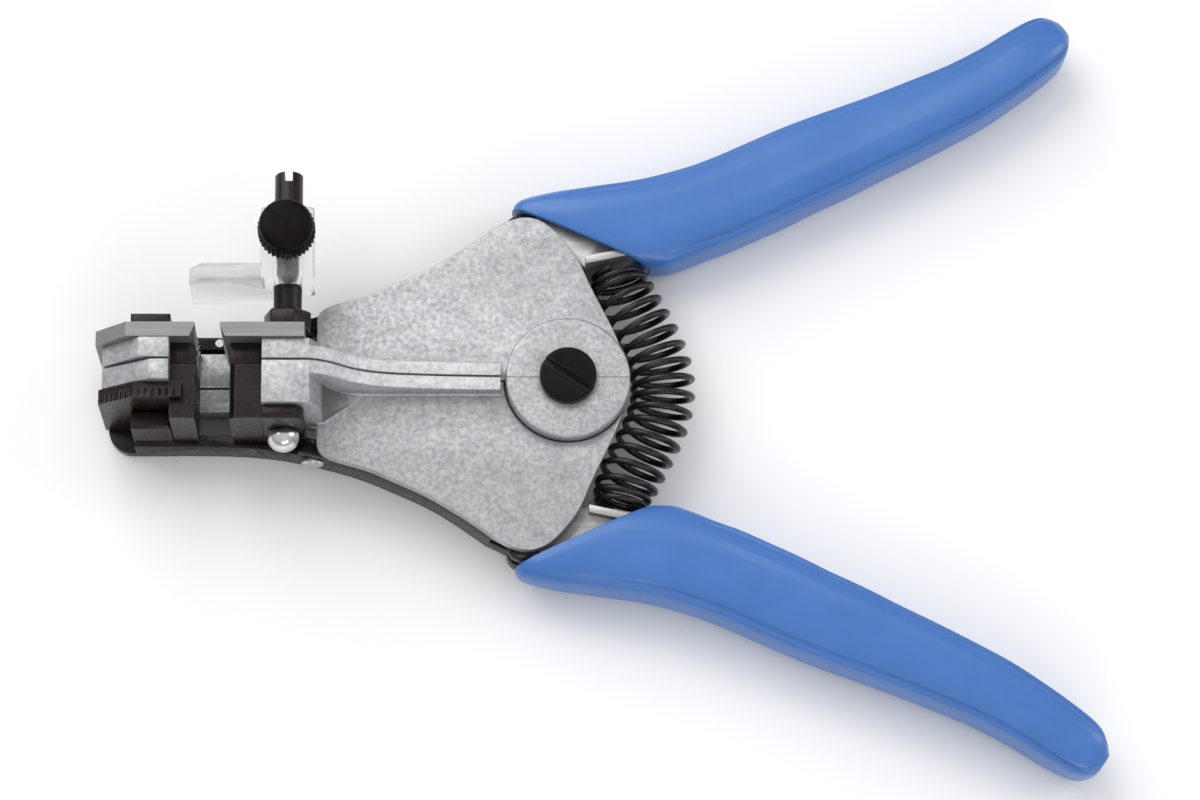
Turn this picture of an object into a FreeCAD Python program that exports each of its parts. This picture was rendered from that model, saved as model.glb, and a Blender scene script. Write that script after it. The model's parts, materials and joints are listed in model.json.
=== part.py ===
import FreeCAD, Part
import math
import os
import Sketcher
from FreeCAD import Vector as V

# Automatic wire stripper with two die-cast halves on one hub screw.
# +X runs from the jaws to the handles, +Y from the gripping half to the cutting half,
# +Z out of the face that carries the hub boss.  z = 0 is the back, on which the tool lies.
# The hub axis is the Z axis.  Millimetres.

doc = FreeCAD.newDocument("wire_stripper")

# ----------------------------------------------------------------------------- driving sheet
DIMS = [
    # hub stack, from the back
    ("back_thk", 2.0), ("tang_thk", 2.0), ("tang_upper_z", 2.2), ("tang_lower_z", 4.4),
    ("knuckle_z", 6.6), ("knuckle_thk", 2.2), ("plate_z", 9.0), ("plate_thk", 2.5),
    ("boss_height", 5.0), ("boss_rad", 11.1), ("boss_gap", 0.3), ("hub_bore", 4.05),
    ("barrel_rad", 4.0), ("shank_rad", 2.4), ("screw_head_rad", 5.05), ("screw_head_thk", 2.0),
    ("screw_slot_wid", 1.1), ("screw_slot_deep", 0.9),
    # head
    ("half_gap", 0.2), ("nose_thk", 3.8), ("blade_thk", 2.6), ("rail_wid", 2.5),
    ("web_z", 2.2), ("web_thk", 4.6), ("web_wid", 6.4), ("block_z", 6.9), ("block_thk", 18.1),
    ("insert_z", 6.9), ("insert_thk", 15.1), ("insert_low", 9.9),
    ("bar_thk", 8.4), ("foot_thk", 2.0),
    # stop
    ("post_rad", 2.5), ("post_stud", 1.9), ("post_len", 29.6), ("nut_thk", 3.2), ("nut_rad", 4.3),
    ("stop_plate_thk", 2.6), ("stop_block_high", 13.0), ("stop_block_wid", 9.4),
    ("knob_rad", 5.0), ("knob_thk", 4.4), ("cap_rad", 4.75), ("cap_thk", 2.2), ("thumb_shank", 1.5),
    # handles
    ("grip_thk", 12.5), ("grip_round", 4.2), ("link_pin_rad", 1.2), ("link_slot", 1.3),
    # springs
    ("coil_rad", 5.3), ("wire_rad", 0.6), ("coil_turns", 17), ("closing_coil_rad", 1.7),
    ("closing_wire_rad", 0.3), ("closing_turns", 13),
]
sheet = doc.addObject("Spreadsheet::Sheet", "dims")
D = {}
for i, (alias, value) in enumerate(DIMS, start=1):
    sheet.set("A%d" % i, alias)
    sheet.set("B%d" % i, str(value))
    sheet.setAlias("B%d" % i, alias)
    D[alias] = float(value)
doc.recompute()

NODES = []


# ----------------------------------------------------------------------------- helpers
def plane_of(body, role):
    return [f for f in body.Origin.OriginFeatures if f.Role == role][0]


def new_body(label):
    b = doc.addObject("PartDesign::Body", label)
    b.Label = label
    b.AllowCompound = True
    NODES.append(b)
    return b


def add_geometry(sk, segs):
    for s in segs:
        kind = s[0]
        if kind == "L":
            sk.addGeometry(Part.LineSegment(V(*s[1], 0), V(*s[2], 0)), False)
        elif kind == "A":
            sk.addGeometry(Part.Arc(V(*s[1], 0), V(*s[2], 0), V(*s[3], 0)), False)
        elif kind == "S":
            c = Part.BSplineCurve()
            c.interpolate([V(*p, 0) for p in s[1]])
            sk.addGeometry(c, False)
        elif kind == "C":
            g = sk.addGeometry(Part.Circle(V(*s[1], 0), V(0, 0, 1), s[2] if not isinstance(s[2], str) else D[s[2]]), False)
            if isinstance(s[2], str):
                n = sk.addConstraint(Sketcher.Constraint("Radius", g, D[s[2]]))
                sk.setExpression("Constraints[%d]" % n, "dims." + s[2])


def poly(*pts):
    return [("L", pts[i], pts[(i + 1) % len(pts)]) for i in range(len(pts))]


def value(e):
    """number of an expression made of sheet aliases"""
    if isinstance(e, (int, float)):
        return float(e)
    return float(eval_expr(e))


def eval_expr(e):
    total, sign = 0.0, 1.0
    for tok in e.replace("+", " + ").replace("-", " - ").split():
        if tok == "+":
            sign = 1.0
        elif tok == "-":
            sign = -1.0
        else:
            total += sign * (D[tok] if tok in D else float(tok))
            sign = 1.0
    return total


def bound(e):
    """the same expression with the sheet's name before each alias"""
    return " ".join("dims." + t if t in D else t for t in e.replace("+", " + ").replace("-", " - ").split())


COUNT = [0]


def sketch(body, role, offset, segs):
    COUNT[0] += 1
    sk = body.newObject("Sketcher::SketchObject", "sk%03d" % COUNT[0])
    sk.AttachmentSupport = [(plane_of(body, role), "")]
    sk.MapMode = "FlatFace"
    if role == "XZ_Plane":      # the plane's normal is -Y
        sign = -1.0
    else:
        sign = 1.0
    sk.AttachmentOffset = FreeCAD.Placement(V(0, 0, sign * value(offset)), FreeCAD.Rotation())
    if isinstance(offset, str):
        ex = bound(offset)
        if sign < 0:
            ex = "-(" + ex + ")"
        sk.setExpression(".AttachmentOffset.Base.z", ex + " * 1 mm")
    add_geometry(sk, segs)
    return sk


def feature(body, kind, role, offset, length, segs, up=True):
    sk = sketch(body, role, offset, segs)
    f = body.newObject(kind, ("pad%03d" if kind.endswith("Pad") else "cut%03d") % COUNT[0])
    f.Profile = sk
    f.Length = value(length)
    if isinstance(length, str):
        f.setExpression("Length", bound(length))
    flip = role == "XZ_Plane"
    if kind.endswith("Pad"):
        f.Reversed = (not up) != flip
    else:
        f.Reversed = up != flip
    before = body_volume(body) if kind.endswith("Pocket") else None
    doc.recompute()
    check(f)
    if before is not None and body.Shape.Volume > before - 1e-6:
        raise RuntimeError("%s: a cut at %s removed nothing" % (body.Label, offset))
    return f


def body_volume(body):
    try:
        return body.Shape.Volume
    except Exception:
        return 0.0


def pad(body, role, offset, length, segs, up=True):
    """material from offset along the plane's own +axis (Z, Y or X)"""
    return feature(body, "PartDesign::Pad", role, offset, length, segs, up)


def cut(body, role, offset, length, segs, up=True):
    return feature(body, "PartDesign::Pocket", role, offset, length, segs, up)


def check(o):
    if any(w in o.State for w in ("Invalid", "Error")):
        raise RuntimeError("%s %s failed: %s" % (o.Name, o.Label, o.State))


def edge_ids(shape, test):
    out = []
    for i, e in enumerate(shape.Edges, start=1):
        try:
            if test(e):
                out.append("Edge%d" % i)
        except Exception:
            pass
    return out


def dress(body, kind, test, size):
    """fillet or chamfer the edges that test picks; left out when the kernel refuses"""
    base = body.Tip
    ids = edge_ids(base.Shape, test)
    if not ids:
        return None
    before = base.Shape.Volume
    f = body.newObject("PartDesign::" + kind, kind.lower() + "%03d" % (COUNT[0] * 10 + len(ids) % 10))
    f.Base = (base, ids)
    if kind == "Fillet":
        f.Radius = size
    else:
        f.Size = size
    doc.recompute()
    bad = any(w in f.State for w in ("Invalid", "Error"))
    if not bad:
        s = f.Shape
        bad = s.isNull() or not s.isValid() or s.Volume < 0.5 * before or s.Volume > 1.3 * before
    if bad:
        print("left out", kind, size, "on", body.Label, len(ids), "edges")
        body.removeObject(f)
        doc.removeObject(f.Name)
        body.Tip = base
        doc.recompute()
        return None
    return f


def zmid(e):
    b = e.BoundBox
    return 0.5 * (b.ZMin + b.ZMax)


def flat_at(e, axis, where, tol=1e-3):
    b = e.BoundBox
    lo, hi = {"x": (b.XMin, b.XMax), "y": (b.YMin, b.YMax), "z": (b.ZMin, b.ZMax)}[axis]
    return abs(lo - where) < tol and abs(hi - where) < tol


def mirror(pts, m):
    return [(x, m * y) for x, y in pts]


def segs_m(segs, m):
    """mirror a segment list in local y when m is -1"""
    out = []
    for s in segs:
        if s[0] == "S":
            out.append(("S", [(x, m * y) for x, y in s[1]]))
        elif s[0] == "C":
            out.append(("C", (s[1][0], m * s[1][1]), s[2]))
        else:
            out.append((s[0],) + tuple((p[0], m * p[1]) for p in s[1:]))
    return out


def on_circle(r, deg):
    a = math.radians(deg)
    return (r * math.cos(a), r * math.sin(a))


# ----------------------------------------------------------------------------- shared outlines
# outer edge of one lobe of the casting, from the shoulder behind the head round to the hub (upper half)
LOBE = [(-44.6, 10.6), (-43.9, 12.9), (-41.6, 14.2), (-38.2, 15.2), (-34.6, 16.4), (-30.9, 18.1), (-27.3, 19.7),
        (-23.7, 21.6), (-20.1, 23.8), (-16.5, 26.2), (-12.9, 28.8), (-9.8, 30.4), (-6.6, 30.9), (-3.4, 29.6),
        (-1.0, 27.3), (1.4, 24.2), (4.1, 18.4), (6.6, 13.2), (8.4, 9.4)]
HUB_JOIN = (9.55, 6.3)
PIN = (-8.5, 29.0)       # link pin between the handle and the pull bar, upper half
TRAVEL = 4.2


def lobe_front(m, r_in=None):
    """front plate of one half; r_in cuts it concentric with the boss"""
    top = LOBE + [HUB_JOIN]
    if r_in is None:
        segs = [("L", (-44.6, 0.2), LOBE[0]), ("S", top), ("L", HUB_JOIN, (8.0, 2.0)), ("L", (8.0, 2.0), (8.0, 0.2)),
                ("L", (8.0, 0.2), (-44.6, 0.2))]
    else:
        a1 = math.degrees(math.atan2(HUB_JOIN[1], HUB_JOIN[0]))
        start = on_circle(r_in, 179.0)
        end = on_circle(r_in, a1)
        segs = [("L", (-44.6, 0.2), LOBE[0]), ("S", LOBE + [end]), ("A", end, on_circle(r_in, 100), start),
                ("L", start, (start[0], 0.2)), ("L", (start[0], 0.2), (-44.6, 0.2))]
    return segs_m(segs, m)


# inner wall of the lobe's back plate, which leaves the pull bar free
BACK = [(-37.5, 8.8), (-34.0, 11.3), (-28.0, 13.8), (-22.0, 16.5), (-17.0, 19.1), (-12.5, 22.1)]


def lobe_back(m, r_in):
    a1 = 62.0
    start = on_circle(r_in, 179.0)
    end = on_circle(r_in, a1)
    segs = [("L", (-44.6, 0.2), (-44.6, 8.0)), ("L", (-44.6, 8.0), BACK[0]), ("S", BACK), ("L", BACK[-1], (-6.0, 23.0)),
            ("L", (-6.0, 23.0), (1.5, 19.0)), ("L", (1.5, 19.0), end), ("A", end, on_circle(r_in, 120), start),
            ("L", start, (start[0], 0.2)), ("L", (start[0], 0.2), (-44.6, 0.2))]
    return segs_m(segs, m)


def rail_profile():
    """raised rail along the parting line, seen from the side (x, z)"""
    top = [(-12.0, 14.6), (-20.0, 15.0), (-28.0, 15.8), (-33.5, 16.9), (-38.0, 19.2), (-41.5, 22.6), (-44.2, 24.5), (-47.0, 25.0)]
    return [("L", (-47.0, 9.0), (-12.0, 9.0)), ("L", (-12.0, 9.0), (-12.0, 14.6)), ("S", top), ("L", (-47.0, 25.0), (-47.0, 9.0))]


def half(label, m):
    """one die-cast half: m = 1 carries the cutters, m = -1 the grippers"""
    b = new_body(label)
    g = 0.2
    # front plate
    pad(b, "XY_Plane", "plate_z", "plate_thk", lobe_front(m, None if m > 0 else D["boss_rad"] + D["boss_gap"]))
    # head block; the gripping half's is deeper in Y
    depth = 3.8 if m > 0 else 7.8
    y0 = g if m > 0 else -depth
    pad(b, "XZ_Plane", y0, depth - g, [("L", (-53.8, 6.9), (-43.0, 6.9)), ("L", (-43.0, 6.9), (-43.0, 15.5)),
                                      ("A", (-43.0, 15.5), (-43.9, 20.6), (-45.6, 25.0)),
                                      ("L", (-45.6, 25.0), (-53.8, 25.0)), ("L", (-53.8, 25.0), (-53.8, 6.9))])
    # hollow ramp from the block down to the plate, narrowing towards the rail
    d0, d1 = 2.3, depth - 0.3
    pad(b, "XZ_Plane", d0 if m > 0 else -d1, d1 - d0, [("L", (-46.0, 9.2), (-46.0, 24.6)), ("S", [(-46.0, 24.6), (-44.6, 21.4), (-43.2, 17.6), (-41.4, 14.4), (-39.2, 12.3), (-36.6, 11.6)]),
                                                      ("L", (-36.6, 11.6), (-36.6, 9.2)), ("L", (-36.6, 9.2), (-46.0, 9.2))])
    cut(b, "XY_Plane", 11.5, 15.0, segs_m(poly((-43.4, depth), (-36.0, 2.6), (-30.0, 2.6), (-30.0, 9.0), (-43.4, 9.0)), m))
    # channel floor and outer wall behind the block
    pad(b, "XY_Plane", 0, "back_thk", segs_m(poly((-53.8, g), (-37.0, g), (-37.0, 8.0), (-48.6, 7.35), (-53.8, 7.35)), m))
    pad(b, "XY_Plane", 0, 6.95, segs_m(poly((-53.8, 6.55), (-49.0, 6.55), (-49.0, 7.35), (-53.8, 7.35)), m))
    pad(b, "XY_Plane", 6.9, 2.1, segs_m(poly((-53.8, g), (-37.0, g), (-37.0, 8.0), (-45.0, 8.0), (-46.2, depth), (-53.8, depth)), m))
    # rail along the parting line, widening towards the head
    y_rail = g if m > 0 else -D["rail_wid"]
    pad(b, "XZ_Plane", y_rail, D["rail_wid"] - g, rail_profile())
    # spine wall between the plates
    pad(b, "XY_Plane", 0, 9.2, segs_m(poly((-37.0, g), (-12.4, g), (-12.4, 2.2), (-37.0, 2.2)), m))
    # back plate
    pad(b, "XY_Plane", 0, "back_thk", lobe_back(m, D["boss_rad"] + D["boss_gap"] if m > 0 else 10.0))
    if m > 0:
        # full front boss
        pad(b, "XY_Plane", "plate_z", "boss_height", [("C", (0, 0), "boss_rad")])
        cut(b, "XY_Plane", 8.5, 6.0, [("C", (0, 0), "hub_bore")])
    else:
        # middle knuckle, tied to the front plate behind the boss
        pad(b, "XY_Plane", "knuckle_z", "knuckle_thk", [("A", (-10.2, 0.0), (0.0, 10.2), (10.2, 0.0)), ("L", (10.2, 0.0), (9.2, -7.0)),
                                                        ("L", (9.2, -7.0), (5.6, -14.5)), ("L", (5.6, -14.5), (-16.0, -17.0)),
                                                        ("L", (-16.0, -17.0), (-16.0, -0.2)), ("L", (-16.0, -0.2), (-10.2, 0.0))])
        pad(b, "XY_Plane", 8.7, 0.5, [("A", on_circle(11.5, 181.2), on_circle(11.5, 250), on_circle(11.5, -36.5)),
                                      ("L", on_circle(11.5, -36.5), (5.6, -14.5)), ("L", (5.6, -14.5), (-16.0, -17.0)),
                                      ("L", (-16.0, -17.0), (-16.0, -0.24)), ("L", (-16.0, -0.24), on_circle(11.5, 181.2))])
        # back boss
        pad(b, "XY_Plane", 0, "back_thk", [("C", (0, 0), "boss_rad")])
        cut(b, "XY_Plane", -0.5, 10.0, [("C", (0, 0), "hub_bore")])
        cut(b, "XY_Plane", -0.5, 1.7, [("C", (0, 0), 5.8)])
    # window in the spine for the closing spring
    cut(b, "XY_Plane", 2.6, 5.6, segs_m(poly((-26.4, -0.5), (-21.2, -0.5), (-21.2, 3.0), (-26.4, 3.0)), m))
    return b


# ----------------------------------------------------------------------------- the two castings
upper = half("upper_body", 1)
# stud hole for the stop post, down into the head block
cut(upper, "XZ_Plane", 1.0, 3.2, [("C", (-49.6, 19.0), 1.95)])
# post of the closing spring
pad(upper, "XY_Plane", 1.5, 6.5, [("C", (-23.8, 9.2), 0.9)])
lower = half("lower_body", -1)
cut(lower, "XZ_Plane", -8.2, 5.2, [("C", (-50.3, 14.6), 1.45)])
pad(lower, "XY_Plane", 1.5, 6.5, [("C", (-23.8, -9.2), 0.9)])

dress(upper, "Chamfer", lambda e: flat_at(e, "z", 14.0) and e.Length > 60, 0.35)


# ----------------------------------------------------------------------------- hub
barrel = new_body("pivot_barrel")
pad(barrel, "XY_Plane", 0.0, 1.1, [("C", (0, 0), 5.6)])
pad(barrel, "XY_Plane", 1.0, 12.9, [("C", (0, 0), "barrel_rad")])
cut(barrel, "XY_Plane", 1.15, 13.0, [("C", (0, 0), 2.45)])
# two holes for a pin spanner
cut(barrel, "XY_Plane", -0.3, 1.0, [("C", (-3.9, 0), 0.6), ("C", (3.9, 0), 0.6)])

screw = new_body("pivot_screw")
pad(screw, "XY_Plane", 14.02, "screw_head_thk", [("C", (0, 0), "screw_head_rad")])
pad(screw, "XY_Plane", 2.0, 12.3, [("C", (0, 0), "shank_rad")])
dress(screw, "Fillet", lambda e: flat_at(e, "z", 16.02), 0.45)
a = math.radians(-33.0)
ux, uy = math.cos(a), math.sin(a)
hw = D["screw_slot_wid"] / 2
cut(screw, "XY_Plane", 16.1 - 1.0, 2.0, poly(*[(s * 7 * ux - t * hw * uy, s * 7 * uy + t * hw * ux) for s, t in ((-1, -1), (1, -1), (1, 1), (-1, 1))]))


# ----------------------------------------------------------------------------- jaws that slide in each half
def hook(label, m):
    """nose and guide arm of a sliding jaw"""
    b = new_body(label)
    g = 0.2
    y0 = g if m > 0 else -3.8
    x_flat = -75.2 if m > 0 else -73.2
    pad(b, "XZ_Plane", y0, 3.6, [("L", (-81.9, 2.2), (-69.9, 2.2)), ("L", (-69.9, 2.2), (-69.9, 25.8)), ("L", (-69.9, 25.8), (x_flat, 25.8)),
                                 ("L", (x_flat, 25.8), (-81.9, 19.4)), ("L", (-81.9, 19.4), (-81.9, 2.2))])
    w = 6.4 if m > 0 else 4.4
    arm = [(-81.9, g), (-42.2, g), (-42.2, 10.2), (-45.4, 9.4), (-48.6, 8.7), (-48.6, w), (-69.6, w), (-69.6, 3.8), (-81.9, 3.8)]
    pad(b, "XY_Plane", "web_z", "web_thk", segs_m(poly(*arm), m))
    dress(b, "Chamfer", lambda e: e.BoundBox.ZMin > 19 and e.BoundBox.ZLength < 0.01 and e.BoundBox.YLength > 3 and e.BoundBox.XMax < -70, 0.3)
    return b


upper_hook = hook("upper_nose_jaw", 1)
lower_hook = hook("lower_nose_jaw", -1)


def serrated(x_face, direction, y0, y1, x_back, pitch=0.6, depth=0.16):
    """outline in XY of a jaw insert with teeth on one face"""
    pts = [(x_back, y0), (x_face, y0)]
    n = int((y1 - y0) / pitch)
    step = (y1 - y0) / n
    for i in range(n):
        pts.append((x_face - direction * depth, y0 + (i + 0.5) * step))
        pts.append((x_face, y0 + (i + 1) * step))
    pts.append((x_back, y1))
    return poly(*pts)


ins = new_body("upper_left_insert")
pad(ins, "XY_Plane", "insert_z", "insert_thk", poly((-69.85, 0.05), (-65.5, 0.05), (-65.5, 3.7), (-69.85, 3.7)))
ins = new_body("upper_right_insert")
pad(ins, "XY_Plane", "insert_z", "insert_thk", poly((-59.5, 0.05), (-53.85, 0.05), (-53.85, 3.7), (-59.5, 3.7)))
ins = new_body("lower_left_insert")
pad(ins, "XY_Plane", "insert_z", "insert_thk", serrated(-65.5, 1, -9.9, -0.05, -69.85))
cut(ins, "XY_Plane", 20.0, 3.0, poly((-70.9, -6.6), (-67.6, -6.6), (-67.6, -3.8), (-70.9, -3.8)))
ins = new_body("lower_right_insert")
pad(ins, "XY_Plane", "insert_z", "insert_thk", serrated(-59.5, -1, -9.9, -0.05, -53.85))
# the insert's front upper corner is relieved so that the wire drops in
cut(ins, "XZ_Plane", -10.5, 11.0, poly((-60.1, 20.4), (-57.9, 22.6), (-60.1, 22.6)))


# ----------------------------------------------------------------------------- cutting blades (in the XZ plane, wire holes along Z)
HOLES = [(9.9, 1.45), (13.1, 1.2), (15.9, 0.98), (18.3, 0.8), (20.3, 0.63), (21.95, 0.5), (23.3, 0.38)]


def blade(label, x_edge, x_far, direction, nose):
    b = new_body(label)
    lo, hi = 7.1, 25.9
    d = direction
    if nose:
        outline = [(x_far, 2.4), (x_far, 20.0), (-77.4, hi), (x_edge, hi), (x_edge, lo), (-70.0, lo), (-70.0, 2.4)]
    else:
        outline = [(x_far, lo), (x_far, hi), (x_edge, hi), (x_edge, lo)]
    pad(b, "XZ_Plane", 3.85, "blade_thk", poly(*outline))
    # semicircular notches along the edge
    for z, r in HOLES:
        cut(b, "XZ_Plane", 3.5, 3.4, [("C", (x_edge, z), r)])
    # bevel that leaves the cutting edge at the outer face
    cut(b, "XY_Plane", 5.0, 23.0, poly((x_edge + d * 0.01, 3.6), (x_edge + d * 0.01, 5.9), (x_edge - d * 1.0, 3.6)))
    return b


blade_m = blade("cutter_blade_moving", -65.5, -83.1, 1, True)
blade_f = blade("cutter_blade_fixed", -61.1, -46.4, -1, False)
cut(blade_f, "XZ_Plane", 3.5, 3.4, [("C", (-49.6, 19.0), 2.0)])

# serrated plate under the gripping nose
gp = new_body("gripper_plate")
pad(gp, "XZ_Plane", -6.5, 2.65, poly((-82.5, 2.4), (-82.5, 18.7), (-75.8, 24.0), (-67.7, 24.0), (-67.7, 20.2), (-70.0, 20.2), (-70.0, 2.4)))
dx, dz = 6.7, 5.3
ln = math.hypot(dx, dz)
for i in range(7):
    s = (i + 0.6) / 7.4
    cx, cz = -82.5 + dx * s, 18.7 + dz * s
    nx, nz = -dz / ln, dx / ln
    tx, tz = dx / ln * 0.38, dz / ln * 0.38
    cut(gp, "XZ_Plane", -6.9, 1.9, poly((cx - tx + nx * 0.2, cz - tz + nz * 0.2), (cx - nx * 0.5, cz - nz * 0.5), (cx + tx + nx * 0.2, cz + tz + nz * 0.2)))
for i in range(6):
    cx = -75.0 + 1.2 * i
    cut(gp, "XZ_Plane", -6.9, 1.9, poly((cx - 0.4, 24.2), (cx, 23.5), (cx + 0.4, 24.2)))


# ----------------------------------------------------------------------------- pull bars
def bar_outline(m):
    if m > 0:
        outer = [(-70.0, 9.6), (-62.0, 9.6), (-56.0, 9.9), (-51.5, 10.9), (-46.0, 12.5), (-42.0, 13.7), (-36.6, 15.3), (-30.6, 17.8), (-24.6, 20.7), (-18.6, 24.5), (-14.6, 27.4)]
    else:
        outer = [(-70.0, 10.7), (-62.0, 10.8), (-56.0, 11.1), (-51.5, 11.6), (-46.0, 12.7), (-42.0, 13.7), (-36.6, 15.4), (-30.6, 17.9), (-24.6, 20.8), (-18.6, 24.6), (-14.6, 27.5)]
    inner = []
    n = len(outer)
    t = 2.2
    for i, (x, y) in enumerate(outer):
        x0, y0 = outer[max(i - 1, 0)]
        x1, y1 = outer[min(i + 1, n - 1)]
        l = math.hypot(x1 - x0, y1 - y0)
        inner.append((x + (y1 - y0) / l * t, y - (x1 - x0) / l * t))
    return outer, inner


def pull_bar(label, m):
    b = new_body(label)
    outer, inner = bar_outline(m)
    strip = [("S", outer), ("L", outer[-1], inner[-1]), ("S", inner[::-1]), ("L", inner[0], outer[0])]
    pad(b, "XY_Plane", 0.3, "bar_thk", segs_m(strip, m))
    # the bar is lower beside the jaws
    cut(b, "XY_Plane", 6.4, 3.0, segs_m(poly((-72.0, 5.0), (-46.6, 5.0), (-46.6, 11.2), (-49.0, 13.0), (-72.0, 13.0)), m))
    # eye for the link pin
    px, py = PIN
    fork_z = 2.0 if m > 0 else 4.2
    pad(b, "XY_Plane", 0.3, "bar_thk", segs_m([("A", (px - 2.3, py + 0.3), (px, py + 3.1), (px + 2.3, py + 0.3)), ("L", (px + 2.3, py + 0.3), (px + 2.3, py - 1.6)),
                                           ("A", (px + 2.3, py - 1.6), (px + 1.2, py - 3.0), (px - 0.2, py - 3.3)), ("L", (px - 0.2, py - 3.3), inner[-1]),
                                           ("L", inner[-1], outer[-1]), ("L", outer[-1], (px - 2.3, py + 0.3))], m))
    s = D["link_slot"]
    cut(b, "XY_Plane", 0.0, 9.0, segs_m([("A", (px - s, py - 0.1), (px, py - 0.1 - s), (px + s, py - 0.1)), ("L", (px + s, py - 0.1), (px + s, py + 1.4)),
                                         ("A", (px + s, py + 1.4), (px, py + 1.4 + s), (px - s, py + 1.4)), ("L", (px - s, py + 1.4), (px - s, py - 0.1))], m))
    # fork gap for the handle's tang
    cut(b, "XY_Plane", fork_z, 2.4, segs_m(poly((px - 5.4, py - 6.0), (px + 5.0, py - 6.0), (px + 5.0, py + 5.0), (px - 5.4, py + 5.0)), m))
    # foot behind the nose, with a rounded outer corner, and the lug beside it
    yo = 9.6 if m > 0 else 10.7
    yl = 6.7
    foot = [("L", (-69.6, 0.3), (-69.6, yo)), ("L", (-69.6, yo), (-77.6, yo)), ("A", (-77.6, yo), (-80.7, yo - 1.3), (-82.0, yo - 4.4)),
            ("L", (-82.0, yo - 4.4), (-82.0, 0.3)), ("L", (-82.0, 0.3), (-69.6, 0.3))]
    pad(b, "XY_Plane", 0.0, "foot_thk", segs_m(foot, m))
    pad(b, "XY_Plane", 0.5, 5.9, segs_m(poly((-77.0, yl), (-69.0, yl), (-69.0, yo), (-77.0, yo)), m))
    top = 21.0 if m > 0 else 15.5
    pad(b, "XY_Plane", 1.0, top - 1.0, segs_m(poly((-77.0, yl), (-70.1, yl), (-70.1, 9.6 if m > 0 else 9.9), (-77.0, 9.6 if m > 0 else 9.9)), m))
    dress(b, "Chamfer", lambda e: flat_at(e, "z", top), 0.4)
    # flat and hole for the rivet, and hole for the foot screw
    cut(b, "XZ_Plane", 12.85 if m > 0 else -16.85, 4.0, [("C", (-45.4, 4.5), 2.25)])
    cut(b, "XZ_Plane", 7.0 if m > 0 else -14.0, 7.0, [("C", (-45.4, 4.5), 1.25)])
    cut(b, "XY_Plane", -0.5, 3.0, segs_m([("C", (-75.6, 2.1), 1.2)], m))
    cut(b, "XY_Plane", -0.5, 1.6, segs_m([("C", (-75.6, 2.1), 1.75)], m))
    return b


upper_bar = pull_bar("upper_pull_bar", 1)
lower_bar = pull_bar("lower_pull_bar", -1)


def rivet(label, m):
    b = new_body(label)
    # round head outside the bar, shank through the bar and the guide arm's foot
    if m > 0:
        pad(b, "XZ_Plane", 12.85, 0.8, [("C", (-45.4, 4.5), 2.1)])
        pad(b, "XZ_Plane", 7.0, 6.0, [("C", (-45.4, 4.5), 1.2)])
    else:
        pad(b, "XZ_Plane", -13.65, 0.8, [("C", (-45.4, 4.5), 2.1)])
        pad(b, "XZ_Plane", -13.0, 6.0, [("C", (-45.4, 4.5), 1.2)])
    dress(b, "Chamfer", lambda e: flat_at(e, "y", 13.65 * m), 0.3)
    return b


rivet("upper_bar_rivet", 1)
rivet("lower_bar_rivet", -1)
for hk, m in ((upper_hook, 1), (lower_hook, -1)):
    cut(hk, "XZ_Plane", 6.8 if m > 0 else -11.0, 4.2, [("C", (-45.4, 4.5), 1.2)])
    cut(hk, "XY_Plane", 1.9, 4.6, segs_m([("C", (-75.6, 2.1), 1.15)], m))


for label, x in (("upper_bar_pin_left", -69.1), ("upper_bar_pin_right", -62.2)):
    bp = new_body(label)
    pad(bp, "XY_Plane", 6.42, 0.55, [("C", (x, 8.4), 0.75)])
    pad(bp, "XY_Plane", 4.5, 2.0, [("C", (x, 8.4), 0.45)])
    cut(upper_bar, "XY_Plane", 4.4, 3.0, [("C", (x, 8.4), 0.46)])


def foot_screw(label, m):
    b = new_body(label)
    pad(b, "XY_Plane", 0.1, 0.9, segs_m([("C", (-75.6, 2.1), 1.7)], m))
    pad(b, "XY_Plane", 0.9, 5.4, segs_m([("C", (-75.6, 2.1), 1.1)], m))
    cut(b, "XY_Plane", 0.0, 0.5, segs_m(poly((-77.6, 1.8), (-73.6, 1.8), (-73.6, 2.4), (-77.6, 2.4)), m))
    return b


foot_screw("upper_foot_screw", 1)
foot_screw("lower_foot_screw", -1)

# ----------------------------------------------------------------------------- gripping half: clamp block and round-head screw
cb = new_body("gripper_clamp_block")
pad(cb, "XZ_Plane", -10.2, 2.35, poly((-53.8, 7.1), (-46.6, 7.1), (-46.6, 21.4), (-47.8, 23.6), (-53.8, 23.6)))
cut(cb, "XZ_Plane", -10.5, 3.0, [("C", (-50.3, 14.6), 1.5)])
dress(cb, "Fillet", lambda e: flat_at(e, "z", 23.6) and abs(e.BoundBox.YMax + 10.2) < 0.01, 0.8)

ds = new_body("gripper_clamp_screw")
ds_sk = sketch(ds, "YZ_Plane", -50.3, [("L", (-10.25, 14.6), (-10.25, 17.3)), ("A", (-10.25, 17.3), (-13.1, 16.75), (-13.9, 14.6)), ("L", (-13.9, 14.6), (-10.25, 14.6))])
rev = ds.newObject("PartDesign::Revolution", "rev_ds")
rev.Profile = ds_sk
axis_sk = ds.newObject("Sketcher::SketchObject", "axis_ds")
axis_sk.AttachmentSupport = [(plane_of(ds, "YZ_Plane"), "")]
axis_sk.MapMode = "FlatFace"
axis_sk.AttachmentOffset = FreeCAD.Placement(V(0, 0, -50.3), FreeCAD.Rotation())
axis_sk.addGeometry(Part.LineSegment(V(-20, 14.6, 0), V(0, 14.6, 0)), False)
rev.ReferenceAxis = (axis_sk, ["Edge1"])
rev.Angle = 360
doc.recompute()
check(rev)
pad(ds, "XZ_Plane", -10.4, 6.2, [("C", (-50.3, 14.6), 1.4)])
cut(ds, "XZ_Plane", -14.2, 1.2, poly((-53.5, 14.25), (-47.1, 14.25), (-47.1, 14.95), (-53.5, 14.95)))

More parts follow.
